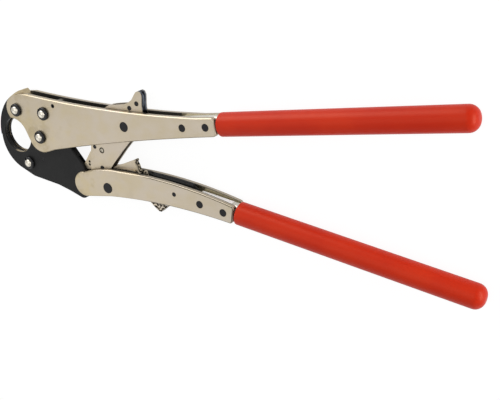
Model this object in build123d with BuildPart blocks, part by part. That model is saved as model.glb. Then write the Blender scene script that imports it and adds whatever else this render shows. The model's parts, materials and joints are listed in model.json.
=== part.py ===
"""Two-handed pipe press tool: compound lever pliers with a press ring at the nose.

Millimetres, +Z out of the front side plates, +X along the upper arm towards its grip.
The origin is the centre of the closed press bore, halfway between the side plates.
"""
import os
from math import acos, atan2, cos, degrees, dist, radians, sin, sqrt

from build123d import *

os.makedirs("parts", exist_ok=True)

# Side plates and the gap between them
plate_t = 5.6
gap = 10.4
side_play = 0.15
plate_edge = 1.0
bore_land = 0.8

# Fits
run_fit = 0.04
free_gap = 0.35

# Press ring and jaws
bore_r = 20.5
lip_w = 2.6
groove_h = 1.0
split_gap = 0.3
hub_r = 17.0

# Domed jaw pins and their retaining rings
jaw_pin_r = 4.6
dome_h = 2.4
clip_r = 7.5
clip_t = 2.8
clip_grip = 0.4
clip_edge = 0.9
clip_split = 2.0

# Flush pins and rivets
link_pin_r = 5.4
drive_pin_r = 3.5
knuckle_pin_r = 5.0
knuckle_head_r = 6.0
head_h = 0.8
rivet_r = 4.0
small_pin_r = 2.3
pawl_pin_r = 2.9
screw_r = 3.4

# Places of the pins on the upper arm
nose_pin = (14.4, 30.7)
neck_pin = (55.4, 25.0)
hinge = (42.1, -1.9)
link_top = (168.3, 7.4)
roll_pin = (72.6, 33.1)
release_pivot = (188.0, 9.5)

# Places of the pins on the link, the lower jaw and the lower arm
jaw_pin = (8.2, -34.1)
jaw_dowel = (31.5, -29.6)
link_foot = (126.5, -61.5)
drive = (85.0, -60.0)
link_rivet_top = (115.6, -15.7)
pawl_pivot = (119.9, -40.3)
force_screw = (124.8, -19.8)
latch_pivot = (217.0, -66.7)
nose_centre = (92.8, -57.5)
segment_rivet = (82.0, -48.6)
lever_rivets = [(176.0, 25.8), (186.7, 30.2)]

# Lobes of the plates round the pins
nose_lobe = 16.3
hinge_lobe = 18.6
neck_lobe = 12.2
lower_nose_r = 14.4
link_lobe = 11.0

# Arms and handles
upper_end_x = 284.0
lower_end_x = 286.0
upper_axis_y = 4.6
lower_angle = -16.4
lower_axis_y = -87.1
lower_axis_x = 282.0
end_gap = 2.0
grip_r = 12.2
grip_end = 12.4
grip_dome = 10.0
grip_lip = 1.2
grip_mouth_r = 10.4
grip_mouth_len = 18.5
tube_r = 8.0
tube_wall = 2.0
tongue_h = 19.0
tongue_back = 14.0
tongue_len = 49.0
flare_len = 16.0
tube_len = 293.0
rivet_pitch = 28.6

# Link, pawl, levers and springs
link_plate_t = 2.2
segment_t = 3.2
tooth_depth = 1.3
tooth_count = 9
teeth_r = 70.8
tooth_gap = 1.1
sight_r = 0.9
slot_r = 4.3
slot_span = 4.3
sheet_t = 1.4
lever_half = 4.6
lever_rivet_r = 2.6
wing_z = 1.15
leaf_t = 0.9
leaf_w = 6.0
coil_r = 3.0
wire_r = 0.6
tail_chamfer = 2.4

half_gap = gap / 2
half_pack = half_gap + plate_t
jaw_half = half_gap - side_play
link_inner = jaw_half - link_plate_t
segment_half = segment_t / 2
tongue_t = gap - 0.1
sides = {"front": 1, "back": -1}


def polar(centre, radius, angle):
    """Point at an angle in degrees on a circle about a centre."""
    return (centre[0] + radius * cos(radians(angle)), centre[1] + radius * sin(radians(angle)))


def meet(centre_a, radius_a, centre_b, radius_b):
    """Crossing of two circles that lies to the left of the line from the first to the second."""
    span = dist(centre_a, centre_b)
    along = (radius_a**2 - radius_b**2 + span**2) / (2 * span)
    aside = sqrt(radius_a**2 - along**2)
    ux, uy = (centre_b[0] - centre_a[0]) / span, (centre_b[1] - centre_a[1]) / span
    return (centre_a[0] + along * ux - aside * uy, centre_a[1] + along * uy + aside * ux)


def save(builder, label):
    """Label a finished piece and write its file."""
    builder.part.label = label
    export_step(builder.part, f"parts/{label}.step")


def upper_plate_shape():
    """Outline of an upper side plate, from the nose lobe round to the grip end."""
    plate_bore = bore_r + bore_land
    start = meet((0, 0), plate_bore, nose_pin, nose_lobe)
    nose_top = polar(nose_pin, nose_lobe, 103)
    temple = (33, 48.0)
    lean = degrees(acos((plate_bore + hinge_lobe) / dist((0, 0), hinge)))
    bore_side = polar((0, 0), plate_bore, split_angle + lean)
    lobe_in = polar(hinge, hinge_lobe, -80)
    lobe_out = polar(hinge, hinge_lobe, 180 + split_angle + lean)
    top_end = (upper_end_x, upper_axis_y + tongue_h / 2)
    low_end = (upper_end_x, upper_axis_y - tongue_h / 2 - 0.4)
    shoulder = (upper_end_x - 22, top_end[1] + 0.3)
    with BuildSketch() as shape:
        with BuildLine():
            ThreePointArc(start, polar(nose_pin, nose_lobe, 160), nose_top)
            Polyline(nose_top, (22.4, 48.4), temple)
            ThreePointArc(temple, (110, 32.5), shoulder)
            Polyline(shoulder, top_end, low_end)
            ThreePointArc(low_end, (171.8, -9.0), (60, -17.4))
            Line((60, -17.4), lobe_in)
            ThreePointArc(lobe_in, polar(hinge, hinge_lobe, -118), lobe_out)
            Line(lobe_out, bore_side)
            ThreePointArc(bore_side, polar((0, 0), plate_bore, 50), start)
        make_face()
        corners = shape.vertices().group_by(Axis.X)[-1]
        fillet(corners, 4.0)
        for pin in (nose_pin, neck_pin, hinge):
            with Locations(pin):
                Circle(jaw_pin_r + run_fit, mode=Mode.SUBTRACT)
        with Locations(link_top):
            Circle(link_pin_r + run_fit, mode=Mode.SUBTRACT)
        with Locations(roll_pin):
            Circle(small_pin_r + run_fit, mode=Mode.SUBTRACT)
        with Locations(*upper_rivets):
            Circle(rivet_r + run_fit, mode=Mode.SUBTRACT)
    return shape.sketch


def lower_plate_shape():
    """Outline of a lower side plate, from its round nose to the grip end."""
    nose_top = polar(nose_centre, lower_nose_r, 78)
    nose_low = polar(nose_centre, lower_nose_r, -85)
    back = (147, -42.4)
    top_end = lower_point(lower_end_along, tongue_h / 2 + 0.3)
    low_end = lower_point(lower_end_along, -tongue_h / 2)
    belly = (128, -71.4)
    with BuildSketch() as shape:
        with BuildLine():
            ThreePointArc(nose_low, polar(nose_centre, lower_nose_r, 180), nose_top)
            ThreePointArc(nose_top, (118, -40.5), back)
            ThreePointArc(back, (221, -56.2), top_end)
            Line(top_end, low_end)
            ThreePointArc(low_end, (205.6, -79.8), belly)
            Line(belly, nose_low)
        make_face()
        fillet(shape.vertices().group_by(Axis.X)[-1] + shape.vertices().group_by(Axis.Y)[0], 3.0)
        with Locations(link_foot):
            Circle(knuckle_pin_r + run_fit, mode=Mode.SUBTRACT)
        with Locations(latch_pivot):
            Circle(small_pin_r + run_fit, mode=Mode.SUBTRACT)
        with Locations(*lower_rivets):
            Circle(rivet_r + run_fit, mode=Mode.SUBTRACT)
    return shape.sketch


def lower_point(along, across):
    """Point of the lower arm from its handle axis, measured from the foot of that axis."""
    u = (cos(radians(lower_angle)), sin(radians(lower_angle)))
    return (
        lower_axis_x + along * u[0] - across * u[1],
        lower_axis_y + along * u[1] + across * u[0],
    )


lower_end_along = (lower_end_x - lower_axis_x) / cos(radians(lower_angle))
upper_rivets = [(upper_end_x - 11.4 - rivet_pitch, upper_axis_y), (upper_end_x - 11.4, upper_axis_y)]
lower_rivets = [
    lower_point(lower_end_along - 11.4 - rivet_pitch, 0),
    lower_point(lower_end_along - 11.4, 0),
]

split_angle = degrees(atan2(hinge[1], hinge[0]))

# Upper side plates: stamped and nickel plated, with a blind seat for the release lever pin
upper_shape = upper_plate_shape()
pin_seat = plate_t * 0.6
for side, sign in sides.items():
    with BuildPart() as upper_plate:
        with BuildSketch(Plane.XY.offset(sign * half_gap)):
            add(upper_shape)
        extrude(amount=sign * plate_t)
        with BuildSketch(Plane.XY.offset(sign * half_gap)):
            with Locations(release_pivot):
                Circle(small_pin_r + run_fit)
        extrude(amount=sign * pin_seat, mode=Mode.SUBTRACT)
        outer = upper_plate.faces().sort_by(Axis.Z)[-1 if sign > 0 else 0]
        chamfer(outer.outer_wire().edges(), plate_edge)
    save(upper_plate, f"upper_plate_{side}")

# Lower side plates, with a blind seat inside for the hidden drive pin
lower_shape = lower_plate_shape()
for side, sign in sides.items():
    with BuildPart() as lower_plate:
        with BuildSketch(Plane.XY.offset(sign * half_gap)):
            add(lower_shape)
        extrude(amount=sign * plate_t)
        with BuildSketch(Plane.XY.offset(sign * half_gap)):
            with Locations(drive):
                Circle(drive_pin_r + run_fit)
        extrude(amount=sign * pin_seat, mode=Mode.SUBTRACT)
        outer = lower_plate.faces().sort_by(Axis.Z)[-1 if sign > 0 else 0]
        chamfer(outer.outer_wire().edges(), plate_edge)
    save(lower_plate, f"lower_plate_{side}")

# Upper jaw: fixed between the upper plates, its hinge side cut clear of the lower jaw's hub
with BuildPart() as upper_jaw:
    with BuildSketch(Plane.XY.offset(-jaw_half)):
        with BuildLine():
            Line((-27, -3), (-27, 2.5))
            ThreePointArc((-27, 2.5), (-18.8, 25.4), (2, 44.6))
            Polyline(
                (2, 44.6), (12.7, 49.4), (18.9, 51.4), (24.6, 52.3), (26.6, 49.6), (28.2, 45.5),
                (46, 37.6), (55, 37.2), (60, 36), (60, 20), (52, 13.5), (47, 10), (-27, -3),
            )
        make_face()
        with Locations(neck_pin):
            Circle(neck_lobe)
        with Locations(hinge):
            Circle(hub_r + free_gap, mode=Mode.SUBTRACT)
        with Locations(Location((0, 0, 0), split_angle)):
            Rectangle(80, 20, align=(Align.CENTER, Align.MAX), mode=Mode.SUBTRACT)
            Rectangle(80, split_gap, mode=Mode.SUBTRACT)
        with Locations(nose_pin, neck_pin):
            Circle(jaw_pin_r + run_fit, mode=Mode.SUBTRACT)
        Circle(bore_r, mode=Mode.SUBTRACT)
    extrude(amount=2 * jaw_half)
    with BuildSketch(Plane.XY.offset(lip_w - jaw_half)):
        Circle(bore_r + groove_h)
    extrude(amount=2 * (jaw_half - lip_w), mode=Mode.SUBTRACT)
save(upper_jaw, "upper_jaw")

# Lower jaw: half ring, hub and tail in one forging, forked for the ratchet segment
slot_middle = (drive[0] + 0.1, drive[1] - 0.62)
with BuildPart() as lower_jaw:
    with BuildSketch(Plane.XY.offset(-jaw_half)):
        with BuildLine():
            Line((-26.3, 3), (-26.3, -0.5))
            ThreePointArc((-26.3, -0.5), (-22.1, -24.2), (-6.8, -40.2))
            Polyline((-6.8, -40.2), (10.6, -50.5), (28.7, -55.6), (46.7, -60.8), (63.4, -68.0), (76.3, -74.6))
            ThreePointArc((76.3, -74.6), (82.5, -76.2), (88.3, -73.6))
            ThreePointArc((88.3, -73.6), (91.7, -67.4), (93.4, -60))
            Polyline(
                (93.4, -60), (93.3, -43), (91.2, -37), (88.1, -32.4), (79.3, -17.7),
                (54.75, 9.4), (42.1, 6), (-26.3, 3),
            )
        make_face()
        with Locations(Location((0, 0, 0), split_angle)):
            Rectangle(120, 30, align=(Align.CENTER, Align.MIN), mode=Mode.SUBTRACT)
            Rectangle(120, split_gap, mode=Mode.SUBTRACT)
        with BuildLine():
            Polyline((50, -8), (79.3, -17.7), (54.75, 9.4), (45, 6), (50, -8))
        make_face()
        with Locations(hinge):
            Circle(hub_r)
            Circle(jaw_pin_r + run_fit, mode=Mode.SUBTRACT)
        with Locations(jaw_pin):
            Circle(jaw_pin_r + run_fit, mode=Mode.SUBTRACT)
        with Locations(jaw_dowel):
            Circle(small_pin_r + run_fit, mode=Mode.SUBTRACT)
        with Locations(Location((slot_middle[0], slot_middle[1], 0), -40)):
            SlotCenterToCenter(slot_span, 2 * slot_r, mode=Mode.SUBTRACT)
        Circle(bore_r, mode=Mode.SUBTRACT)
    extrude(amount=2 * jaw_half)
    with BuildSketch(Plane.XY.offset(lip_w - jaw_half)):
        Circle(bore_r + groove_h)
    extrude(amount=2 * (jaw_half - lip_w), mode=Mode.SUBTRACT)
    with BuildSketch(Plane.XY.offset(-segment_half - run_fit)):
        with BuildLine():
            Polyline((74, -33), (100, -20), (100, -50), (91, -54.4), (76, -54), (74, -33))
        make_face()
    extrude(amount=2 * (segment_half + run_fit), mode=Mode.SUBTRACT)
    with BuildSketch(Plane.XY.offset(-jaw_half)):
        with Locations(segment_rivet):
            Circle(small_pin_r + run_fit)
    extrude(amount=2 * jaw_half, mode=Mode.SUBTRACT)
    rims = [e for e in lower_jaw.edges().filter_by(GeomType.LINE) if 60 < e.center().X < 92 and e.center().Y > -45]
    chamfer([e for e in rims if e.center().Z < 0.1 - jaw_half], tail_chamfer)
    chamfer([e for e in rims if e.center().Z > jaw_half - 0.1], plate_edge)
save(lower_jaw, "lower_jaw")

# Ratchet segment: toothed plate riveted in the fork of the tail, teeth round the jaw hinge
first_tooth = degrees(atan2(-21.6 - hinge[1], 109.4 - hinge[0]))
tooth_step = 2.1
teeth = []
for index in range(tooth_count):
    angle = first_tooth - index * tooth_step
    teeth.append(polar(hinge, teeth_r, angle))
    teeth.append(polar(hinge, teeth_r - tooth_depth, angle - 0.25))
segment_back = [
    polar(hinge, teeth_r - 10.3, -30.9),
    polar(hinge, teeth_r - 5.9, -18.6),
    polar(hinge, teeth_r - 3.6, -15.1),
]
segment_heel = polar(hinge, teeth_r - 0.8, -35.3)
with BuildPart() as ratchet_segment:
    with BuildSketch(Plane.XY.offset(-segment_half)):
        with BuildLine():
            Polyline(
                (76.5, -52.5), (75.5, -41), (82, -44.5), (89.4, -38.2), *segment_back,
                *teeth, segment_heel, (90.6, -43.0), (90, -53.4), (76.5, -52.5),
            )
        make_face()
        with Locations(segment_rivet):
            Circle(small_pin_r + run_fit, mode=Mode.SUBTRACT)
        with Locations(polar(hinge, teeth_r - 5.1, -28.9), polar(hinge, teeth_r - 4.0, -31.8)):
            Circle(sight_r, mode=Mode.SUBTRACT)
    extrude(amount=segment_t)
save(ratchet_segment, "ratchet_segment")


def through_pin(place, radius, half, rounding):
    """Plain pin along Z with both ends rounded or domed."""
    with BuildPart() as pin:
        with Locations(place):
            Cylinder(radius, 2 * half)
        fillet(pin.edges().filter_by(GeomType.CIRCLE), rounding)
    return pin.part


def clipped_pin(place, seat):
    """Domed pin with a groove at each end for its retaining ring; seat is the face it stands on."""
    with BuildPart() as pin:
        with Locations(place):
            Cylinder(jaw_pin_r, 2 * (seat + clip_t + dome_h))
        fillet(pin.edges().filter_by(GeomType.CIRCLE), dome_h)
        for level in (seat + clip_t / 2, -seat - clip_t / 2):
            with Locations((place[0], place[1], level)):
                Cylinder(jaw_pin_r + 1, clip_t, mode=Mode.SUBTRACT)
                Cylinder(jaw_pin_r - clip_grip, clip_t)
    return pin.part


def clip_pair(place, seat):
    """Two open retaining rings snapped into the grooves of a pin."""
    with BuildPart() as rings:
        for level in (seat + clip_t / 2, -seat - clip_t / 2):
            with Locations((place[0], place[1], level)):
                Cylinder(clip_r, clip_t)
        chamfer(rings.edges().filter_by(GeomType.CIRCLE), clip_edge)
        for level in (seat + clip_t / 2, -seat - clip_t / 2):
            with Locations((place[0], place[1], level)):
                Cylinder(jaw_pin_r - clip_grip, clip_t, mode=Mode.SUBTRACT)
        with Locations(Location((place[0], place[1], 0), (0, 0, 118))):
            Box(clip_r + 1, clip_split, 4 * seat, align=(Align.MIN, Align.CENTER, Align.CENTER), mode=Mode.SUBTRACT)
    return rings.part


# Domed pins of the jaws, each held by two retaining rings
with BuildPart() as upper_jaw_pins:
    add(clipped_pin(nose_pin, half_pack))
    add(clipped_pin(neck_pin, half_pack))
save(upper_jaw_pins, "upper_jaw_pins")

with BuildPart() as jaw_hinge_pin:
    add(clipped_pin(hinge, half_pack))
save(jaw_hinge_pin, "jaw_hinge_pin")

with BuildPart() as pin_retaining_rings:
    for place in (nose_pin, neck_pin, hinge):
        add(clip_pair(place, half_pack))
save(pin_retaining_rings, "pin_retaining_rings")

with BuildPart() as lower_jaw_pin:
    add(clipped_pin(jaw_pin, jaw_half))
save(lower_jaw_pin, "lower_jaw_pin")

with BuildPart() as lower_jaw_rings:
    add(clip_pair(jaw_pin, jaw_half))
save(lower_jaw_rings, "lower_jaw_rings")

with BuildPart() as lower_jaw_dowel:
    add(through_pin(jaw_dowel, small_pin_r, jaw_half, 0.3))
save(lower_jaw_dowel, "lower_jaw_dowel")

with BuildPart() as segment_rivet_pin:
    add(through_pin(segment_rivet, small_pin_r, jaw_half, 0.3))
save(segment_rivet_pin, "segment_rivet")

# Pins and rivets of the arms
with BuildPart() as link_pin:
    add(through_pin(link_top, link_pin_r, half_pack, 0.4))
save(link_pin, "link_pin")

with BuildPart() as drive_pin:
    add(through_pin(drive, drive_pin_r, half_gap + pin_seat, 0.3))
save(drive_pin, "jaw_drive_pin")

with BuildPart() as main_pivot_pin:
    add(through_pin(link_foot, knuckle_pin_r, half_pack, 0.4))
    for level in (half_pack + head_h / 2, -half_pack - head_h / 2):
        with Locations((link_foot[0], link_foot[1], level)):
            Cylinder(knuckle_head_r, head_h)
    chamfer(main_pivot_pin.edges().group_by(Axis.Z)[-1], 0.5)
    chamfer(main_pivot_pin.edges().group_by(Axis.Z)[0], 0.5)
save(main_pivot_pin, "main_pivot_pin")

with BuildPart() as upper_handle_rivets:
    for place in upper_rivets:
        add(through_pin(place, rivet_r, half_pack, 0.4))
save(upper_handle_rivets, "upper_handle_rivets")

with BuildPart() as lower_handle_rivets:
    for place in lower_rivets:
        add(through_pin(place, rivet_r, half_pack, 0.4))
save(lower_handle_rivets, "lower_handle_rivets")

with BuildPart() as spacer_roll_pin:
    add(through_pin(roll_pin, small_pin_r, half_pack, 0.3))
    with Locations(roll_pin):
        Cylinder(small_pin_r - 0.9, 3 * half_pack, mode=Mode.SUBTRACT)
save(spacer_roll_pin, "spacer_roll_pin")

with BuildPart() as plate_spacer:
    with Locations(roll_pin):
        Cylinder(small_pin_r + 2.5, gap)
        Cylinder(small_pin_r + run_fit, gap, mode=Mode.SUBTRACT)
save(plate_spacer, "plate_spacer")

with BuildPart() as release_lever_pin:
    add(through_pin(release_pivot, small_pin_r, half_gap + pin_seat, 0.3))
save(release_lever_pin, "release_lever_pin")

with BuildPart() as latch_pin:
    add(through_pin(latch_pivot, small_pin_r, half_pack, 0.3))
save(latch_pin, "latch_pin")


def bush(place, outer, inner, half):
    """Plain bush along Z."""
    with BuildPart() as ring:
        with Locations(place):
            Cylinder(outer, 2 * half)
            Cylinder(inner, 2 * half, mode=Mode.SUBTRACT)
    return ring.part


# Link: two plates held apart by bushes, with the pawl between them
with BuildSketch() as link_shape:
    with BuildLine():
        Polyline(
            (102.4, -42.6), (110.6, -14.4), (114, -4), (120, 1.5), (165, 18), (178, 12), (176, -3),
            (165.2, -11.8), (153.6, -21.1), (142.8, -30.7), (136.9, -35.9), (131.4, -41.2), (132.5, -50),
            (136.4, -60), (126.5, -71.4), (117.4, -65.5), (106, -47.5), (102.4, -42.6),
        )
    make_face()
    fillet(link_shape.vertices().sort_by_distance((114, -4))[0], 4)
    fillet(link_shape.vertices().sort_by_distance((102.4, -42.6))[0], 2)
    with Locations(link_top):
        Circle(link_lobe)
        Circle(link_pin_r + run_fit, mode=Mode.SUBTRACT)
    with Locations(link_foot):
        Circle(link_lobe - 1)
        Circle(knuckle_pin_r + run_fit, mode=Mode.SUBTRACT)
    with Locations(link_rivet_top):
        Circle(small_pin_r + run_fit, mode=Mode.SUBTRACT)
    with Locations(pawl_pivot):
        Circle(pawl_pin_r + run_fit, mode=Mode.SUBTRACT)
    with Locations(force_screw):
        Circle(screw_r + run_fit, mode=Mode.SUBTRACT)
for side, sign in sides.items():
    with BuildPart() as link_plate:
        with BuildSketch(Plane.XY.offset(sign * link_inner)):
            add(link_shape.sketch)
        extrude(amount=sign * link_plate_t)
    save(link_plate, f"link_plate_{side}")

with BuildPart() as link_bushes:
    add(bush(link_top, 8.5, link_pin_r + run_fit, link_inner))
    add(bush(link_foot, 8.0, knuckle_pin_r + run_fit, link_inner))
save(link_bushes, "link_bushes")

with BuildPart() as spring_post:
    add(through_pin(link_rivet_top, small_pin_r, jaw_half, 0.3))
save(spring_post, "spring_post")

with BuildPart() as pawl_pin:
    add(through_pin(pawl_pivot, pawl_pin_r, jaw_half, 0.3))
save(pawl_pin, "pawl_pin")

with BuildPart() as press_force_screw:
    add(through_pin(force_screw, screw_r, jaw_half, 0.3))
    with Locations(Location((force_screw[0], force_screw[1], jaw_half), (0, 0, 40))):
        Box(3 * screw_r, 1.0, 1.6, mode=Mode.SUBTRACT)
save(press_force_screw, "press_force_screw")

# Ratchet pawl on its pin, nose just clear of the teeth while the tool is shut
nose_x, nose_y = polar(hinge, teeth_r + tooth_gap, -25.1)
with BuildPart() as ratchet_pawl:
    with BuildSketch(Plane.XY.offset(-segment_half)):
        with BuildLine():
            Polyline(
                (121, -35.8), (nose_x + 4.8, nose_y - 0.6), (nose_x, nose_y), (nose_x + 1.8, nose_y - 4),
                (117, -43.6), (121, -35.8),
            )
        make_face()
        with Locations(pawl_pivot):
            Circle(pawl_pin_r + 1.7)
            Circle(pawl_pin_r + run_fit, mode=Mode.SUBTRACT)
    extrude(amount=segment_t)
save(ratchet_pawl, "ratchet_pawl")

with BuildPart() as pawl_spring:
    with BuildSketch(Plane.XY.offset(-segment_half)):
        with BuildLine():
            Polyline(
                (114.6, -32.9), (118.4, -26), (116.8, -17.9), (117.7, -17.4), (119.2, -26.2),
                (115.3, -33.2), (114.6, -32.9),
            )
        make_face()
        with Locations(link_rivet_top):
            Circle(small_pin_r + 1.4)
            Circle(small_pin_r + run_fit, mode=Mode.SUBTRACT)
    extrude(amount=segment_t)
save(pawl_spring, "pawl_spring")


def tube_body(inset):
    """Flattened tongue that swells into a round tube, along +X from the tongue's end."""
    with BuildPart() as body:
        with BuildSketch(Plane.YZ):
            RectangleRounded(tongue_h - 2 * inset, tongue_t - 2 * inset, 3.2 - inset)
        extrude(amount=tongue_len)
        with BuildSketch(Plane.YZ.offset(tongue_len)):
            RectangleRounded(tongue_h - 2 * inset, tongue_t - 2 * inset, 3.2 - inset)
        with BuildSketch(Plane.YZ.offset(tongue_len + flare_len)):
            Circle(tube_r - inset)
        loft()
        with BuildSketch(Plane.YZ.offset(tongue_len + flare_len)):
            Circle(tube_r - inset)
        extrude(amount=tube_len - tongue_len - flare_len)
    return body.part


def handle_tube(rivets_at):
    """Steel handle tube with the two rivet holes through its tongue."""
    with BuildPart() as tube:
        add(tube_body(0))
        add(tube_body(tube_wall), mode=Mode.SUBTRACT)
        with Locations(*[(x, 0) for x in rivets_at]):
            Cylinder(rivet_r + run_fit, 2 * tongue_t, mode=Mode.SUBTRACT)
    return tube.part


def grip_body():
    """Dipped sleeve: rounded mouth, straight body, domed closed end."""
    with BuildPart() as body:
        with BuildSketch(Plane.YZ):
            Circle(grip_r)
        extrude(amount=tube_in_grip + grip_end)
        fillet(body.faces().sort_by(Axis.X)[-1].edges(), grip_dome)
        fillet(body.faces().sort_by(Axis.X)[0].edges(), grip_lip)
        with BuildSketch(Plane.YZ):
            Circle(tube_r)
        extrude(amount=tube_in_grip + 2.4, mode=Mode.SUBTRACT)
        with BuildSketch(Plane.YZ):
            Circle(grip_mouth_r)
        extrude(amount=grip_mouth_len, mode=Mode.SUBTRACT)
    return body.part


# Handle tubes and grips, the same on both arms
grip_start = tongue_back + 31.4 + end_gap
tube_in_grip = tube_len - grip_start
upper_seat = Location((upper_end_x - tongue_back - 31.4, upper_axis_y, 0))
lower_start = lower_point(lower_end_along - tongue_back - 31.4, 0)
lower_seat = Location((lower_start[0], lower_start[1], 0), (0, 0, lower_angle))
rivets_along = (upper_rivets[0][0] - upper_seat.position.X, upper_rivets[1][0] - upper_seat.position.X)
upper_grip_seat = upper_seat * Location((grip_start, 0, 0))
lower_grip_seat = lower_seat * Location((grip_start, 0, 0))

with BuildPart() as upper_handle_tube:
    add(handle_tube(rivets_along).moved(upper_seat))
save(upper_handle_tube, "upper_handle_tube")

with BuildPart() as lower_handle_tube:
    add(handle_tube(rivets_along).moved(lower_seat))
save(lower_handle_tube, "lower_handle_tube")

with BuildPart() as upper_grip:
    add(grip_body().moved(upper_grip_seat))
save(upper_grip, "upper_grip")

with BuildPart() as lower_grip:
    add(grip_body().moved(lower_grip_seat))
save(lower_grip, "lower_grip")

# Release lever: folded channel standing up out of the upper arm, thumb face at its back
with BuildPart() as release_lever:
    with BuildSketch(Plane.XY.offset(-lever_half)):
        with BuildLine():
            Polyline(
                (139.5, 26.4), (147.5, 29.6), (157.4, 30.1), (168.9, 30.2), (175.5, 31.8), (180.8, 34.4),
                (185.4, 39.4), (188.2, 42.2), (191.2, 43.2), (194.2, 41.8), (195.1, 38), (194.1, 33.4),
                (193, 28.8), (192.4, 24.8), (192.4, 17.4), (191.4, 8.5), (184.5, 6), (182, 12),
                (175, 21), (150, 24.9), (139.5, 26.4),
            )
        make_face()
        with Locations(release_pivot):
            Circle(small_pin_r + run_fit, mode=Mode.SUBTRACT)
        with Locations(*lever_rivets):
            Circle(lever_rivet_r, mode=Mode.SUBTRACT)
    extrude(amount=2 * lever_half)
    chamfer(release_lever.edges().filter_by(Axis.Z).group_by(Axis.X)[0], 2)
    with BuildSketch(Plane.XY.offset(sheet_t - lever_half)):
        with BuildLine():
            Polyline(
                (153, 36), (184, 48.6), (189.6, 40.6), (192.8, 40.8), (193.4, 38), (192.5, 33.8),
                (191.4, 29.2), (190.8, 25), (190.8, 17.4), (189.8, 2), (150, 2), (153, 36),
            )
        make_face()
    extrude(amount=2 * (lever_half - sheet_t), mode=Mode.SUBTRACT)
save(release_lever, "release_lever")

with BuildPart() as release_lever_rivets:
    for place in lever_rivets:
        for sign in sides.values():
            with Locations((place[0], place[1], sign * (lever_half - sheet_t / 2 + 0.15))):
                Cylinder(lever_rivet_r, sheet_t + 0.3)
save(release_lever_rivets, "release_lever_rivets")

spring_root = upper_seat.position.X - free_gap
with BuildPart() as release_spring:
    with BuildSketch(Plane.XY.offset(-leaf_w / 2)):
        with BuildLine():
            Polyline(
                (spring_root, 12.4), (222, 12.0), (206, 10.6), (192.7, 12.6), (192.7, 12.6 + leaf_t),
                (206, 10.6 + leaf_t), (222, 12.0 + leaf_t), (spring_root, 12.4 + leaf_t), (spring_root, 12.4),
            )
        make_face()
    extrude(amount=leaf_w)
save(release_spring, "release_spring")

# Latch lever: folded plate on the lower arm, a wing above the arm and a trigger lug below it
spring_eye = (178.0, -45.4)
wing_top = wing_z + sheet_t
with BuildPart() as wing_flange:
    with BuildSketch(Plane.XY.offset(wing_z)):
        with BuildLine():
            Polyline((137, -41), (153, -41.6), (165, -43), (165, -44.2), (153, -42.8), (137, -42.2), (137, -41))
        make_face()
    extrude(amount=half_gap - wing_z)
    with BuildSketch(Plane.XZ.offset(40)):
        with BuildLine():
            Polyline(
                (137, wing_z), (165, wing_z), (165, half_gap - 0.5), (137, wing_top + 0.1), (137, wing_z),
            )
        make_face()
    extrude(amount=6, mode=Mode.INTERSECT)

with BuildPart() as latch_lever:
    with BuildSketch(Plane.XY.offset(wing_z)):
        with BuildLine():
            Polyline(
                (133, -41.6), (134.2, -39.8), (141.8, -37.3), (148.4, -36), (157.4, -33.6), (164.4, -31.7),
                (165.4, -36), (166.4, -38.4), (167, -41.2), (167.2, -44), (168.6, -47.2), (173.6, -48.6),
                (175.6, -44.2), (177.4, -43.1), (179.6, -43.6), (181, -51), (190, -54), (219, -62.6),
                (221, -68), (213, -71), (196, -79.5), (196, -85.5), (188.6, -90.2), (185.2, -89.4),
                (180, -84), (175.5, -78.5), (190, -72), (205, -66.5), (163, -48.4), (157, -43.6), (133, -41.6),
            )
        make_face()
        with Locations(latch_pivot):
            Circle(small_pin_r + run_fit, mode=Mode.SUBTRACT)
        with Locations(spring_eye):
            Circle(wire_r + 0.3, mode=Mode.SUBTRACT)
    extrude(amount=sheet_t)
    add(wing_flange.part)
    with BuildSketch(Plane.XY.offset(-lever_half)):
        with BuildLine():
            Polyline(
                (163.8, -32.4), (165.4, -36), (166.4, -38.4), (167, -41.2), (167.2, -44), (168.6, -47.2),
                (167.2, -47.8), (165.8, -44.2), (165.6, -41.4), (165, -38.9), (164, -36.2), (163.8, -32.4),
            )
        make_face()
        with Locations((164.9, -33.1)):
            Circle(1.5)
    extrude(amount=wing_top + lever_half)
    with BuildSketch(Plane.XY.offset(-lever_half)):
        with BuildLine():
            Polyline(
                (179.0, -83), (185.2, -89.4), (188.6, -90.2), (196, -85.5), (196, -83.6), (188.2, -88.4),
                (186, -87.8), (180.2, -82), (179.0, -83),
            )
        make_face()
    extrude(amount=wing_top + lever_half)
    with Locations((latch_pivot[0], latch_pivot[1], 0)):
        Cylinder(small_pin_r + 2.4, 2 * lever_half)
        Cylinder(small_pin_r + run_fit, 3 * lever_half, mode=Mode.SUBTRACT)
save(latch_lever, "latch_lever")

# Latch spring: close-wound extension spring, hooked in the lever and over the end of the tube
coil_start = (187.0, -49.2)
coil_end = (237.6, -60.8)
coil_turn = degrees(atan2(coil_end[1] - coil_start[1], coil_end[0] - coil_start[0]))
anchor = lower_seat * Location((-wire_r, tongue_h / 2 - tube_wall / 2, 0))
anchor_turn = degrees(atan2(anchor.position.Y - coil_end[1], anchor.position.X - coil_end[0]))
eye_turn = degrees(atan2(coil_start[1] - spring_eye[1], coil_start[0] - spring_eye[0]))
along_x = (Align.CENTER, Align.CENTER, Align.MIN)
with BuildPart() as latch_spring:
    with Locations(Location((*coil_start, 0), (0, 0, coil_turn)) * Location((0, 0, 0), (0, 90, 0))):
        Cylinder(coil_r, dist(coil_start, coil_end), align=along_x)
    with Locations(Location((*spring_eye, 0), (0, 0, eye_turn)) * Location((0, 0, 0), (0, 90, 0))):
        Cylinder(wire_r, dist(spring_eye, coil_start), align=along_x)
    with Locations(Location((*coil_end, 0), (0, 0, anchor_turn)) * Location((0, 0, 0), (0, 90, 0))):
        Cylinder(wire_r, dist(coil_end, (anchor.position.X, anchor.position.Y)), align=along_x)
    with Locations((*spring_eye, -wire_r)):
        Cylinder(wire_r, wing_top + 2 * wire_r, align=along_x)
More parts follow.
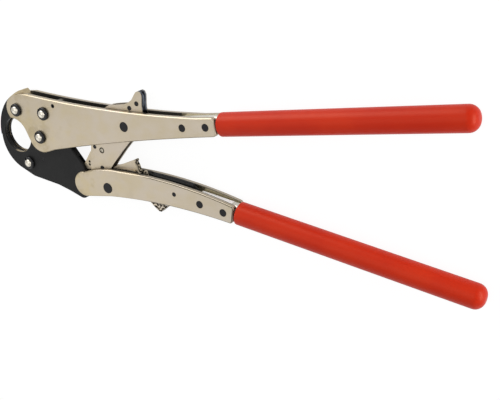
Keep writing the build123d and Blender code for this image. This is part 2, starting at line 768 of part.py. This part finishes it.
save(latch_spring, "latch_spring")
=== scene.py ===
"""Finish of the two-handed pipe press tool, lying on its back plates on a pale floor."""
import json
from math import cos, pi, radians, sin

import bmesh
import bpy
from mathutils import Matrix, Vector


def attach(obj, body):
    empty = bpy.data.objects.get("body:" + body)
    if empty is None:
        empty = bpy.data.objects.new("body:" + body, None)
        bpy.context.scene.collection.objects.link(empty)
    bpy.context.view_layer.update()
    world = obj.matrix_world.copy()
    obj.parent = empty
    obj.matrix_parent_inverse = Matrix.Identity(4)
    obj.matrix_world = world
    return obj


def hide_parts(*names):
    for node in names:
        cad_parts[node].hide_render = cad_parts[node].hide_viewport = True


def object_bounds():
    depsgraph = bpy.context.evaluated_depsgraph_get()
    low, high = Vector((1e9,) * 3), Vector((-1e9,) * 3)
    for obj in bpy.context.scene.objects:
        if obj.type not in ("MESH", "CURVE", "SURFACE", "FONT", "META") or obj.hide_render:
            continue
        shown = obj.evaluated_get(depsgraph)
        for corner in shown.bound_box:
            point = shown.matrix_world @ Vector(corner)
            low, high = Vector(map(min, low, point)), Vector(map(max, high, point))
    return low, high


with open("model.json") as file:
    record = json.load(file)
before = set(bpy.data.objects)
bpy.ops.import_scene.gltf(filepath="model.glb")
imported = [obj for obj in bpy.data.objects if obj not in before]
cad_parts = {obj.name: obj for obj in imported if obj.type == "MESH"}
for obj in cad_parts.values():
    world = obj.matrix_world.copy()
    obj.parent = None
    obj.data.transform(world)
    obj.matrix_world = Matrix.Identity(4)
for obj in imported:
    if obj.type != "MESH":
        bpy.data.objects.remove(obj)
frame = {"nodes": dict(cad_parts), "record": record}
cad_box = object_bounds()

scene = bpy.context.scene

# Studio: the camera that took the photograph, a pale floor under the tool, and soft white
# light from large panels. The tool lies flat, so the camera looks down at its front plates.
scene.view_settings.view_transform = "Standard"
lens = bpy.data.cameras.new("camera")
lens.sensor_width = 36.0
lens.lens = 61.2
lens.clip_start = 0.01
camera = bpy.data.objects.new("camera", lens)
scene.collection.objects.link(camera)
look_right = Vector((0.84186, -0.16420, -0.51412))
look_up = Vector((-0.02761, 0.93824, -0.34487))
look_turn = Matrix((look_right, look_up, look_right.cross(look_up))).transposed()
eye = Vector((0.76274, 0.18540, 0.66938))
camera.matrix_world = Matrix.Translation(eye) @ look_turn.to_4x4()
scene.camera = camera


class Wire:
    """One output of a shader node. Sums, differences and products of wires add Math nodes."""

    def __init__(self, tree, socket=None):
        self.tree = tree
        self.socket = socket

    def node(self, kind, inputs=None, out=0, **settings):
        """Add a node: its settings first, then the values or wires of its sockets."""
        made = self.tree.nodes.new("ShaderNode" + kind)
        for name, value in settings.items():
            setattr(made, name, value)
        for name, value in (inputs or {}).items():
            socket = made.inputs[name]
            if isinstance(value, Wire):
                self.tree.links.new(value.socket, socket)
            elif isinstance(value, tuple) and len(value) == 3 and socket.type == "RGBA":
                socket.default_value = (*value, 1.0)
            else:
                socket.default_value = value
        return Wire(self.tree, made.outputs[out]) if made.outputs else None

    def math(self, operation, first, second=0.0):
        return self.node("Math", {0: first, 1: second}, operation=operation)

    def __add__(self, other):
        return self.math("ADD", self, other)

    def __sub__(self, other):
        return self.math("SUBTRACT", self, other)

    def __rsub__(self, other):
        return self.math("SUBTRACT", other, self)

    def __mul__(self, other):
        return self.math("MULTIPLY", self, other)

    __radd__ = __add__
    __rmul__ = __mul__

    def __abs__(self):
        return self.math("ABSOLUTE", self)

    def larger(self, other):
        return self.math("MAXIMUM", self, other)

    def smaller(self, other):
        return self.math("MINIMUM", self, other)

    def sine(self):
        return self.math("SINE", self)

    def between(self, low, high):
        """0 below low, 1 above high, smooth in between."""
        span = {"Value": self, "From Min": low, "From Max": high}
        return self.node("MapRange", span, interpolation_type="SMOOTHSTEP")

    def tint(self, colour_a, colour_b):
        """Colour a where this wire is 0, colour b where it is 1."""
        return self.node("Mix", {0: self, 6: colour_a, 7: colour_b}, out=2, data_type="RGBA")

    def bump(self, strength, distance):
        """Normal of a surface that has this wire as its height."""
        return self.node("Bump", {"Height": self, "Strength": strength, "Distance": distance})

    def split(self):
        """Wires of the three coordinates of this place."""
        made = self.node("SeparateXYZ", {0: self}).socket.node
        return [Wire(self.tree, socket) for socket in made.outputs]

    def stretched(self, x, y, z):
        """This place with its coordinates scaled, for noise that is drawn out along one of them."""
        return self.node("Mapping", {"Vector": self, "Scale": (x, y, z)})

    def off_axis(self, x, y):
        """Distance of this place from the line along Z through (x, y)."""
        centred = {"Vector": self, "Location": (-x, -y, 0.0), "Scale": (1.0, 1.0, 0.0)}
        return self.node("VectorMath", {0: self.node("Mapping", centred)}, out=1, operation="LENGTH")

    def grain(self, scale, detail=3.0, rough=0.55):
        """Noise of that scale at this place."""
        settings = {"Vector": self, "Scale": scale, "Detail": detail, "Roughness": rough}
        return self.node("TexNoise", settings)


def emptied(owner):
    """Wire into the emptied shader tree of a world or a material."""
    owner.use_nodes = True
    owner.node_tree.nodes.clear()
    return Wire(owner.node_tree)


def seen_rays(wire, off_metal):
    """1 for the rays that show the background to the camera, and a share for those off metal."""
    rays = wire.node("LightPath").socket.node
    camera_ray, glossy, through = (
        Wire(wire.tree, rays.outputs[f"Is {kind} Ray"]) for kind in ("Camera", "Glossy", "Transmission")
    )
    return camera_ray.larger((glossy * off_metal).larger(through))


scene.world = bpy.data.worlds.new("studio")
sky = emptied(scene.world)
dim_sky = sky.node("Background", {"Color": (1.0, 1.0, 1.0), "Strength": 0.42})
white_sky = sky.node("Background", {"Color": (1.0, 1.0, 1.0), "Strength": 1.0})
studio_sky = sky.node("MixShader", {0: seen_rays(sky, 0.72), 1: dim_sky, 2: white_sky})
sky.node("OutputWorld", {"Surface": studio_sky})

floor_clearance = 0.0004
floor_mesh = bpy.data.meshes.new("floor")
bm = bmesh.new()
bmesh.ops.create_grid(bm, x_segments=1, y_segments=1, size=4.0)
bmesh.ops.translate(bm, verts=bm.verts, vec=(0.3, 0.0, cad_box[0][2] - floor_clearance))
bm.to_mesh(floor_mesh)
bm.free()
floor = bpy.data.objects.new("floor", floor_mesh)
scene.collection.objects.link(floor)
floor_white = bpy.data.materials.new("floor_white")
floor_mesh.materials.append(floor_white)
ground = emptied(floor_white)
matt = ground.node("BsdfDiffuse", {"Color": (0.93, 0.93, 0.93)})
faint = ground.node("BsdfDiffuse", {"Color": (0.14, 0.14, 0.14)})
glow = ground.node("Emission", {"Color": (1.0, 1.0, 1.0), "Strength": 0.92})
bright = ground.node("AddShader", {0: faint, 1: glow})
studio_floor = ground.node("MixShader", {0: seen_rays(ground, 0.45), 1: matt, 2: bright})
ground.node("OutputMaterial", {"Surface": studio_floor})


def panel(name, place, aim, size, power):
    """Soft rectangular studio light aimed at a point."""
    light = bpy.data.lights.new(name, "AREA")
    light.shape = "RECTANGLE"
    light.size, light.size_y = size
    light.energy = power
    lamp = bpy.data.objects.new(name, light)
    scene.collection.objects.link(lamp)
    place = Vector(place)
    facing = (place - Vector(aim)).to_track_quat("Z", "Y")
    lamp.matrix_world = Matrix.Translation(place) @ facing.to_matrix().to_4x4()


panel("key_panel", (-0.12, 0.85, 0.26), (0.25, 0.0, 0.0), (0.85, 0.60), 4.4)
panel("top_panel", (0.1, 0.3, 1.2), (0.2, 0.0, 0.0), (1.4, 1.0), 3.4)
panel("end_panel", (1.15, -0.05, 0.08), (0.48, 0.0, 0.0), (0.7, 0.4), 4.0)
panel("fill_panel", (-0.7, -0.5, 0.7), (0.1, 0.0, 0.0), (0.8, 0.6), 0.8)


# Side plates of both arms: four thick steel blanks, stamped out, tumbled and nickel plated.
# They are riveted in pairs round the handle tubes, with the jaws and the link between them.
plate_edge = 0.0002
inner_face = 0.00523    # just past the inner faces of a pair, from the middle of the tool
shade_edge = 0.0055    # the painted shade of the gap reaches this far out over its edges
outer_edge = 0.0101     # a dark line runs from here to the outer faces of the lower pair
outer_face = 0.01079
tube_start = 0.2345     # the tubes fill the gap from here on, and the painted shade stops here


def finish(name, paint, **shader):
    """Material whose paint(place) gives the wires of the varying sockets."""
    made = bpy.data.materials.new(name)
    wire = emptied(made)
    sockets = shader | paint(wire.node("TexCoord", out=3))
    body = wire.node("BsdfPrincipled", {key.replace("_", " "): value for key, value in sockets.items()})
    wire.node("OutputMaterial", {"Surface": body})
    return made


def show(node, ending, shape, material, crease=32):
    """Turn a finished bmesh into the piece of the tool that stands for a CAD node."""
    name = f"{node}_{ending}"
    mesh = bpy.data.meshes.new(name)
    shape.normal_update()
    shape.to_mesh(mesh)
    shape.free()
    mesh.materials.append(material)
    for face in mesh.polygons:
        face.use_smooth = True
    mesh.set_sharp_from_angle(angle=radians(crease))
    piece = bpy.data.objects.new(name, mesh)
    scene.collection.objects.link(piece)
    even = piece.modifiers.new("even_normals", "WEIGHTED_NORMAL")
    even.keep_sharp = True
    bodies = frame["record"]["behaviour"]["bodies"]
    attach(piece, next(body for body, nodes in bodies.items() if node in nodes))
    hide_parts(node)


def rounded(node, edge, steps=2, angle=38):
    """Bmesh of a CAD node with its facets merged and its sharp edges rounded."""
    bm = bmesh.new()
    bm.from_mesh(frame["nodes"][node].data)
    bmesh.ops.remove_doubles(bm, verts=bm.verts, dist=2e-6)
    bmesh.ops.dissolve_limit(bm, angle_limit=radians(0.4), verts=bm.verts, edges=bm.edges)
    sharp = [e for e in bm.edges if len(e.link_faces) == 2 and e.calc_face_angle() > radians(angle)]
    bmesh.ops.bevel(
        bm, geom=sharp, offset=edge, offset_type="OFFSET", affect="EDGES",
        segments=steps, profile=0.5, material=-1, clamp_overlap=True,
    )
    return bm


def nickel_paint(place):
    """Warm satin nickel: cloudy, yellower and stained at the nose, with fine grain and drawing lines."""
    cloud = place.grain(22.0, 3.0)
    blotch = place.grain(90.0, 4.0)
    lines = place.stretched(60.0, 1400.0, 1400.0).grain(1.0, 2.0)
    speck = place.grain(2600.0, 2.0)
    x, y, z = place.split()
    whiter = (x + 0.9 * y).between(0.01, 0.14)
    tone = (cloud * 0.6 + blotch * 0.4).between(0.36, 0.64) * 0.55 + whiter * 0.45
    stain = place.grain(65.0, 3.0).between(0.48, 0.66) * (1 - whiter)
    plated = tone.tint((0.455, 0.380, 0.240), (0.50, 0.440, 0.362))
    return {
        "Base Color": (0.5 * stain).tint(plated, (0.34, 0.275, 0.155)),
        "Roughness": 0.33 + 0.10 * blotch.between(0.3, 0.7) + 0.05 * (speck - 0.5),
        "Normal": (lines * 0.35 + speck * 0.65).bump(0.10, 0.0002),
    }


def plate_paint(place):
    """Satin nickel outside; the gap between the plates is painted dark as shade, up to the tubes, and on
    the lower pair a painted shadow reaches out under the latch lever's wing.
    """
    sockets = nickel_paint(place)
    x, y, z = place.split()
    depth = abs(z)
    # Painted shade: the gap and the edges over it are darkened. On the lower pair it reaches further
    # out, most of all under the latch lever's wing as its painted shadow.
    lower = 1 - (y + 0.30 * x).between(0.040, 0.050)
    wing_shadow = x.between(0.128, 0.134) * (1 - x.between(0.176, 0.184))
    reach = lower * (0.0004 + 0.0016 * wing_shadow)
    outer = (depth - reach).between(shade_edge, shade_edge + 0.0004)
    by_tube = x.between(tube_start, tube_start + 0.002)
    unshaded = by_tube * (1 - depth.between(inner_face, inner_face + 0.00004))
    unshaded = unshaded.larger(by_tube * (1 - lower))
    bare = lower.tint((0.44, 0.39, 0.28), (0.36, 0.32, 0.21))
    colour = outer.tint(unshaded.tint((0.030, 0.027, 0.022), bare), sockets["Base Color"])
    line = lower * x.between(0.16, 0.19) * depth.between(outer_edge, outer_edge + 0.0002)
    line = line * (1 - depth.between(outer_face - 0.00003, outer_face))
    colour = line.tint(colour, (0.085, 0.072, 0.05))
    return sockets | {"Base Color": colour, "Metallic": 0.3 + 0.7 * outer.larger(unshaded)}


nickel = finish("satin_nickel", nickel_paint, Metallic=1.0)
plate_nickel = finish("plate_nickel", plate_paint)
for plate in ("upper_plate_front", "upper_plate_back", "lower_plate_front", "lower_plate_back"):
    show(plate, "plated", rounded(plate, plate_edge), plate_nickel)


# Jaws: two drop forgings of tool steel with a black oxide finish, bored together so that the
# shut ring is round. The pad on the nose is ground bright again. The press lips carry painted
# highlights along their edges, and their ends, where the halves of the ring part, are painted bright.
jaw_edge = 0.00045
lip_r = 0.0207       # just past the radius of the press lips
groove_r = 0.0216    # just past the radius of the groove between them
groove_half = 0.0024
split_y = -0.0175    # the lips are painted bright below this, where the halves of the ring part
pad_y = 0.0438       # the pad is all that lies above this, between the two values of x
pad_start = 0.0008
pad_end = 0.0292


def black_paint(place):
    """Satin black oxide over a forged skin, ground bright on the pad, with painted highlights along the
    lip edges and the lip ends painted bright.
    """
    cloud = place.grain(60.0, 4.0)
    skin = place.grain(900.0, 4.0, 0.6)
    black = cloud.between(0.35, 0.7).tint((0.008, 0.008, 0.008), (0.019, 0.019, 0.019))
    x, y, z = place.split()
    away = place.off_axis(0.0, 0.0)
    pad = y.between(pad_y, pad_y + 0.0006) * x.between(pad_start, pad_start + 0.0008)
    pad = pad * (1 - x.between(pad_end - 0.0004, pad_end))
    ground_marks = place.stretched(900.0, 900.0, 60.0).grain(1.0, 2.0)
    colour = pad.tint(black, ground_marks.tint((0.40, 0.32, 0.19), (0.58, 0.49, 0.33)))
    # Painted light on the lips: highlights along their edges, and their ends painted bright.
    on_lips = 1 - away.between(lip_r, lip_r + 0.0004)
    ends = on_lips * (1 - y.between(split_y - 0.0020, split_y))
    corner = 1 - abs(abs(z) - groove_half).between(0.0001, 0.0004)
    bright_lips = ends.larger(corner * on_lips * cloud.between(0.40, 0.55))
    bored = 1 - away.between(groove_r, groove_r + 0.0003)
    return {
        "Base Color": bright_lips.tint(colour, (0.42, 0.34, 0.22)),
        "Roughness": 0.40 + 0.2 * cloud.between(0.3, 0.7) - 0.12 * pad - 0.26 * bored,
        "Metallic": 0.35 + 0.65 * pad,
        "Normal": (skin * (1 - pad)).bump(0.35, 0.00025),
    }


black_steel = finish("black_oxide", black_paint, Specular_IOR_Level=0.22)
for jaw in ("upper_jaw", "lower_jaw"):
    show(jaw, "forging", rounded(jaw, jaw_edge), black_steel)


# Jaw pins: turned and polished steel with domed ends. Each sits in two thick
# black rings, split on one side and snapped into grooves against the plates.
pin_r = 0.0046
neck_r = 0.0042
dome_height = 0.0024
ring_height = 0.0028
ring_edge = 0.0004
pin_sets = {  # x and y of each pin's axis, and how high its ring sits above the middle
    "upper_jaw_pins": [(0.0144, 0.0307, 0.0108), (0.0554, 0.0250, 0.0108)],
    "jaw_hinge_pin": [(0.0421, -0.0019, 0.0108)],
    "lower_jaw_pin": [(0.0082, -0.0341, 0.00505)],
}


def turned(bm, profile, x, y):
    """Spin a profile of (radius, height) points about the axis along Z through (x, y)."""
    verts = [bm.verts.new((x + r, y, z)) for r, z in profile]
    edges = [bm.edges.new(pair) for pair in zip(verts, verts[1:])]
    bmesh.ops.spin(
        bm, geom=verts + edges, cent=(x, y, 0), axis=(0, 0, 1), dvec=(0, 0, 0),
        angle=2 * pi, steps=64, use_merge=True,
    )
    bmesh.ops.remove_doubles(bm, verts=bm.verts, dist=1e-7)
    bmesh.ops.recalc_face_normals(bm, faces=bm.faces)


def chrome_paint(place):
    """Polished steel, a little scuffed."""
    fine = place.grain(700.0, 3.0)
    return {
        "Base Color": fine.tint((0.58, 0.54, 0.45), (0.72, 0.68, 0.60)),
        "Roughness": 0.08 + 0.08 * fine,
    }


def ring_paint(place):
    """Black oxide on spring steel, smooth and oily."""
    fine = place.grain(900.0, 3.0)
    return {
        "Base Color": fine.tint((0.004, 0.004, 0.005), (0.008, 0.008, 0.010)),
        "Roughness": 0.16 + 0.10 * fine,
    }


chrome = finish("polished_steel", chrome_paint, Metallic=1.0)
ring_black = finish("ring_black", ring_paint, Metallic=0.0, Specular_IOR_Level=0.3)
for node, places in pin_sets.items():
    pins = bmesh.new()
    for x, y, seat in places:
        shoulder = seat + ring_height
        half = [
            (pin_r * sin(radians(d)), shoulder + dome_height * cos(radians(d))) for d in range(0, 90, 8)
        ]
        half += [(pin_r, shoulder), (neck_r, shoulder), (neck_r, seat), (pin_r, seat)]
        turned(pins, half + [(r, -z) for r, z in reversed(half)], x, y)
    show(node, "domed", pins, chrome, crease=50)

for node in ("pin_retaining_rings", "lower_jaw_rings"):
    show(node, "snapped", rounded(node, ring_edge, steps=3), ring_black, crease=50)


# Flush pins, rivets and the headed main pin: blackened steel, faced off level with the plates.
# The large ones are joints or hold the tubes; the small ones sit in the levers and the jaw's tail.
turned_edge = 0.00012


def rivet_paint(place):
    """Blackened steel with the marks of the facing cut."""
    fine = place.grain(1200.0, 3.0)
    return {
        "Base Color": fine.tint((0.010, 0.010, 0.011), (0.026, 0.026, 0.028)),
        "Roughness": 0.28 + 0.2 * fine,
        "Normal": fine.bump(0.3, 0.0002),
    }


rivet_black = finish("blackened_steel", rivet_paint, Metallic=0.3, Specular_IOR_Level=0.18)
for node in (
    "link_pin", "upper_handle_rivets", "lower_handle_rivets", "main_pivot_pin", "spacer_roll_pin",
    "latch_pin", "spring_post", "pawl_pin", "lower_jaw_dowel", "segment_rivet", "release_lever_rivets",
):
    show(node, "black", rounded(node, turned_edge), rivet_black)


# Link and its inner works: two nickel plated plates held apart by bushes, with the ratchet
# segment, the pawl and the screw that sets the pressing force.
link_edge = 0.00022
sight_holes = [(0.0996, -0.0337), (0.0989, -0.0371)]  # x and y of their axes
screw_axis = (0.1248, -0.0198)


def segment_paint(place):
    """Nickel, with a rim of painted shade round the two sight holes."""
    sockets = nickel_paint(place)
    first, second = (place.off_axis(*hole) for hole in sight_holes)
    # Painted shade: a dark rim round the sight holes.
    unshaded = first.smaller(second).between(0.0011, 0.0018)
    colour = unshaded.tint((0.03, 0.026, 0.02), sockets["Base Color"])
    return sockets | {"Base Color": colour, "Metallic": 0.4 + 0.6 * unshaded}


def dull_paint(place):
    """Plain turned steel of the parts inside the plates."""
    cloud = place.grain(300.0, 4.0)
    return {
        "Base Color": cloud.tint((0.13, 0.12, 0.10), (0.26, 0.24, 0.20)),
        "Roughness": 0.3 + 0.2 * cloud,
    }


def screw_paint(place):
    """Slotted screw: painted dark at the rim and bright in the middle."""
    away = place.off_axis(*screw_axis) + 0.0006 * (place.grain(900.0) - 0.5)
    return {
        "Base Color": away.between(0.0012, 0.0024).tint((0.50, 0.46, 0.38), (0.06, 0.052, 0.038)),
        "Roughness": 0.28 + 0.1 * place.grain(500.0),
    }


for plate in ("link_plate_front", "link_plate_back"):
    show(plate, "plated", rounded(plate, link_edge), nickel)

segment_nickel = finish("segment_nickel", segment_paint)
show("ratchet_segment", "plated", rounded("ratchet_segment", link_edge), segment_nickel)

dull_steel = finish("dull_steel", dull_paint, Metallic=1.0)
for node in ("plate_spacer", "release_lever_pin", "link_bushes", "jaw_drive_pin", "ratchet_pawl"):
    show(node, "turned", rounded(node, turned_edge), dull_steel)

screw_steel = finish("rim_dark_steel", screw_paint, Metallic=1.0)
show("press_force_screw", "turned", rounded("press_force_screw", turned_edge), screw_steel)


# Levers: folded from thin sheet and nickel plated, with a thumb face on the upper one and a
# wing and a trigger lug on the lower one. Each turns on a pin between the plates of its arm.
sheet_edge = 0.0003
thumb_x = 0.1888     # the thumb face of the release lever starts here
thumb_half = 0.0036  # half its width, between the two walls
wing_z = 0.0012      # the folds behind the latch lever's wing lie below this
lug_y = -0.0770      # its trigger lug is all that lies below this


def release_paint(place):
    """Nickel, with the thumb face between its two walls polished, and a painted reflection on it: dark,
    with bluish streaks.
    """
    sockets = nickel_paint(place)
    x, y, z = place.split()
    # Painted reflection: the thumb face is painted dark with bluish streaks, for the dark surroundings
    # it mirrors.
    face = x.between(thumb_x, thumb_x + 0.0006) * (1 - abs(z).between(thumb_half, thumb_half + 0.0004))
    reflected_streak = place.stretched(90.0, 90.0, 700.0).grain(1.0, 2.0)
    dark = reflected_streak.between(0.45, 0.7).tint((0.006, 0.006, 0.008), (0.20, 0.23, 0.28))
    return sockets | {
        "Base Color": face.tint(sockets["Base Color"], dark),
        "Roughness": sockets["Roughness"] - 0.2 * face,
    }


def latch_paint(place):
    """Nickel, with dark patches painted in the folds behind the wing as a painted reflection, and on the
    trigger lug as painted shade.
    """
    sockets = nickel_paint(place)
    x, y, z = place.split()
    fold = (1 - z.between(wing_z - 0.0006, wing_z)).larger(1 - y.between(lug_y - 0.0020, lug_y))
    # Painted light: the dark patches in the folds behind the wing are a painted reflection, those on the
    # trigger lug painted shade.
    reflection_and_shade = place.grain(420.0, 2.0).between(0.42, 0.52) * fold
    return sockets | {
        "Base Color": reflection_and_shade.tint(sockets["Base Color"], (0.018, 0.015, 0.011)),
        "Roughness": sockets["Roughness"] - 0.12 * fold,
    }


for node, paint in (("release_lever", release_paint), ("latch_lever", latch_paint)):
    lever_nickel = finish(node + "_nickel", paint, Metallic=1.0)
    show(node, "folded", rounded(node, sheet_edge), lever_nickel)


# Springs: a leaf spring pushes the release lever back, another one the pawl, and a close-wound
# spring of black wire, hooked in the lever and over the tube's end, pulls the latch lever.
leaf_edge = 0.0001
wire_edge = 0.0002
coil_lean = radians(12.91)
coil_way = Vector((cos(coil_lean), -sin(coil_lean), 0.0))
coil_r = 0.003
coil_pitch = 0.0016
coil_groove = 0.00045
past_eye = 0.19      # the barrel starts beyond this, measured along the spring
cuts_per_turn = 4


def spring_paint(place):
    """Tempered strip, straw coloured."""
    cloud = place.grain(200.0, 4.0)
    return {
        "Base Color": cloud.tint((0.55, 0.50, 0.36), (0.72, 0.67, 0.52)),
        "Roughness": 0.25 + 0.15 * cloud,
    }


def wound(bm):
    """Cut the barrel of the spring across and draw the cuts in, so that it shows its close turns."""
    barrel = [v for v in bm.verts if v.co.dot(coil_way) > past_eye and abs(v.co.z) > coil_r - 0.0003]
    low, high = (limit(v.co.dot(coil_way) for v in barrel) for limit in (min, max))
    middle = sum((v.co for v in barrel), Vector()) / len(barrel)
    middle.z = 0.0
    turns = round((high - low) / coil_pitch)
    cuts = turns * cuts_per_turn
    for step in range(1, cuts):
        everything = bm.verts[:] + bm.edges[:] + bm.faces[:]
        here = coil_way * (low + (high - low) * step / cuts)
        bmesh.ops.bisect_plane(bm, geom=everything, plane_co=here, plane_no=coil_way)
    for vert in bm.verts:
        along = vert.co.dot(coil_way)
        axis = middle + coil_way * (along - middle.dot(coil_way))
        if low <= along <= high and (vert.co - axis).length > coil_r * 0.9:
            draw_in = 0.5 + 0.5 * cos(2 * pi * turns * (along - low) / (high - low))
            vert.co -= (vert.co - axis).normalized() * coil_groove * draw_in
    return bm


def coil_paint(place):
    """Black wire, painted darker between the turns as shade; their backs are satin."""
    x, y, z = place.split()
    along = x * coil_way.x + y * coil_way.y
    # Painted shade between the turns, one dark band per turn along the spring.
    turns = (along * (2 * pi / coil_pitch)).sine() * 0.5 + 0.5
    return {
        "Base Color": turns.between(0.1, 0.9).tint((0.001, 0.001, 0.001), (0.014, 0.014, 0.014)),
        "Roughness": 0.40 + 0.1 * place.grain(600.0),
    }


spring_steel = finish("spring_steel", spring_paint, Metallic=1.0)
for node in ("release_spring", "pawl_spring"):
    show(node, "leaf", rounded(node, leaf_edge), spring_steel)

coil_black = finish("coil_black", coil_paint, Metallic=0.0, Specular_IOR_Level=0.25)
coiled = wound(rounded("latch_spring", wire_edge))
show("latch_spring", "wound", coiled, coil_black, crease=50)


# Handle tubes: plain drawn steel tube, flattened at the end that is riveted between the plates.
# A blank white strip is stuck on top of the lower tube's flat end.
tube_edge = 0.0003
tube_x, tube_y = 0.282, -0.0871            # a point on the axis of the lower tube
tube_lean = radians(-16.4)
strip_start, strip_end = -0.0400, -0.0022  # along that axis, from that point
strip_low, strip_high = 0.0072, 0.013      # across it
strip_half = 0.0045                        # half the strip's width, along Z


def tube_paint(place):
    """Bare drawn steel, and the white strip in the lower tube's own directions."""
    cloud = place.grain(80.0, 4.0)
    x, y, z = place.split()
    x, y = x - tube_x, y - tube_y
    along = x * cos(tube_lean) + y * sin(tube_lean)
    across = y * cos(tube_lean) - x * sin(tube_lean)
    strip = along.between(strip_start, strip_start + 0.0003)
    strip = strip * (1 - along.between(strip_end - 0.0003, strip_end))
    strip = strip * across.between(strip_low, strip_low + 0.0002)
    strip = strip * (1 - across.between(strip_high - 0.001, strip_high))
    strip = strip * (1 - abs(z).between(strip_half - 0.0002, strip_half))
    steel = cloud.tint((0.62, 0.60, 0.53), (0.76, 0.74, 0.67))
    return {
        "Base Color": strip.tint(steel, (0.97, 0.97, 0.96)),
        "Roughness": 0.3 + 0.2 * cloud,
        "Metallic": 1 - strip,
    }


tube_steel = finish("tube_steel", tube_paint)
for node in ("upper_handle_tube", "lower_handle_tube"):
    show(node, "drawn", rounded(node, tube_edge, angle=50), tube_steel)


# Grips: the tube ends are dipped in soft red plastic, which leaves a domed end and a
# thick rounded lip, and a skin with the faintest orange peel.
grip_edge = 0.0002


def grip_paint(place):
    """Soft red plastic, a little cloudy."""
    peel = place.grain(420.0, 3.0)
    cloud = place.grain(14.0, 3.0)
    return {
        "Base Color": cloud.between(0.35, 0.65).tint((0.56, 0.014, 0.0008), (0.62, 0.022, 0.0018)),
        "Roughness": 0.36 + 0.08 * peel,
        "Normal": peel.bump(0.12, 0.0003),
    }


red_plastic = finish(
    "dipped_red_plastic", grip_paint,
    Metallic=0.0, Specular_IOR_Level=0.4, Specular_Tint=(1.0, 0.62, 0.42, 1.0),
)
for node in ("upper_grip", "lower_grip"):
    show(node, "dipped", rounded(node, grip_edge, angle=60), red_plastic)
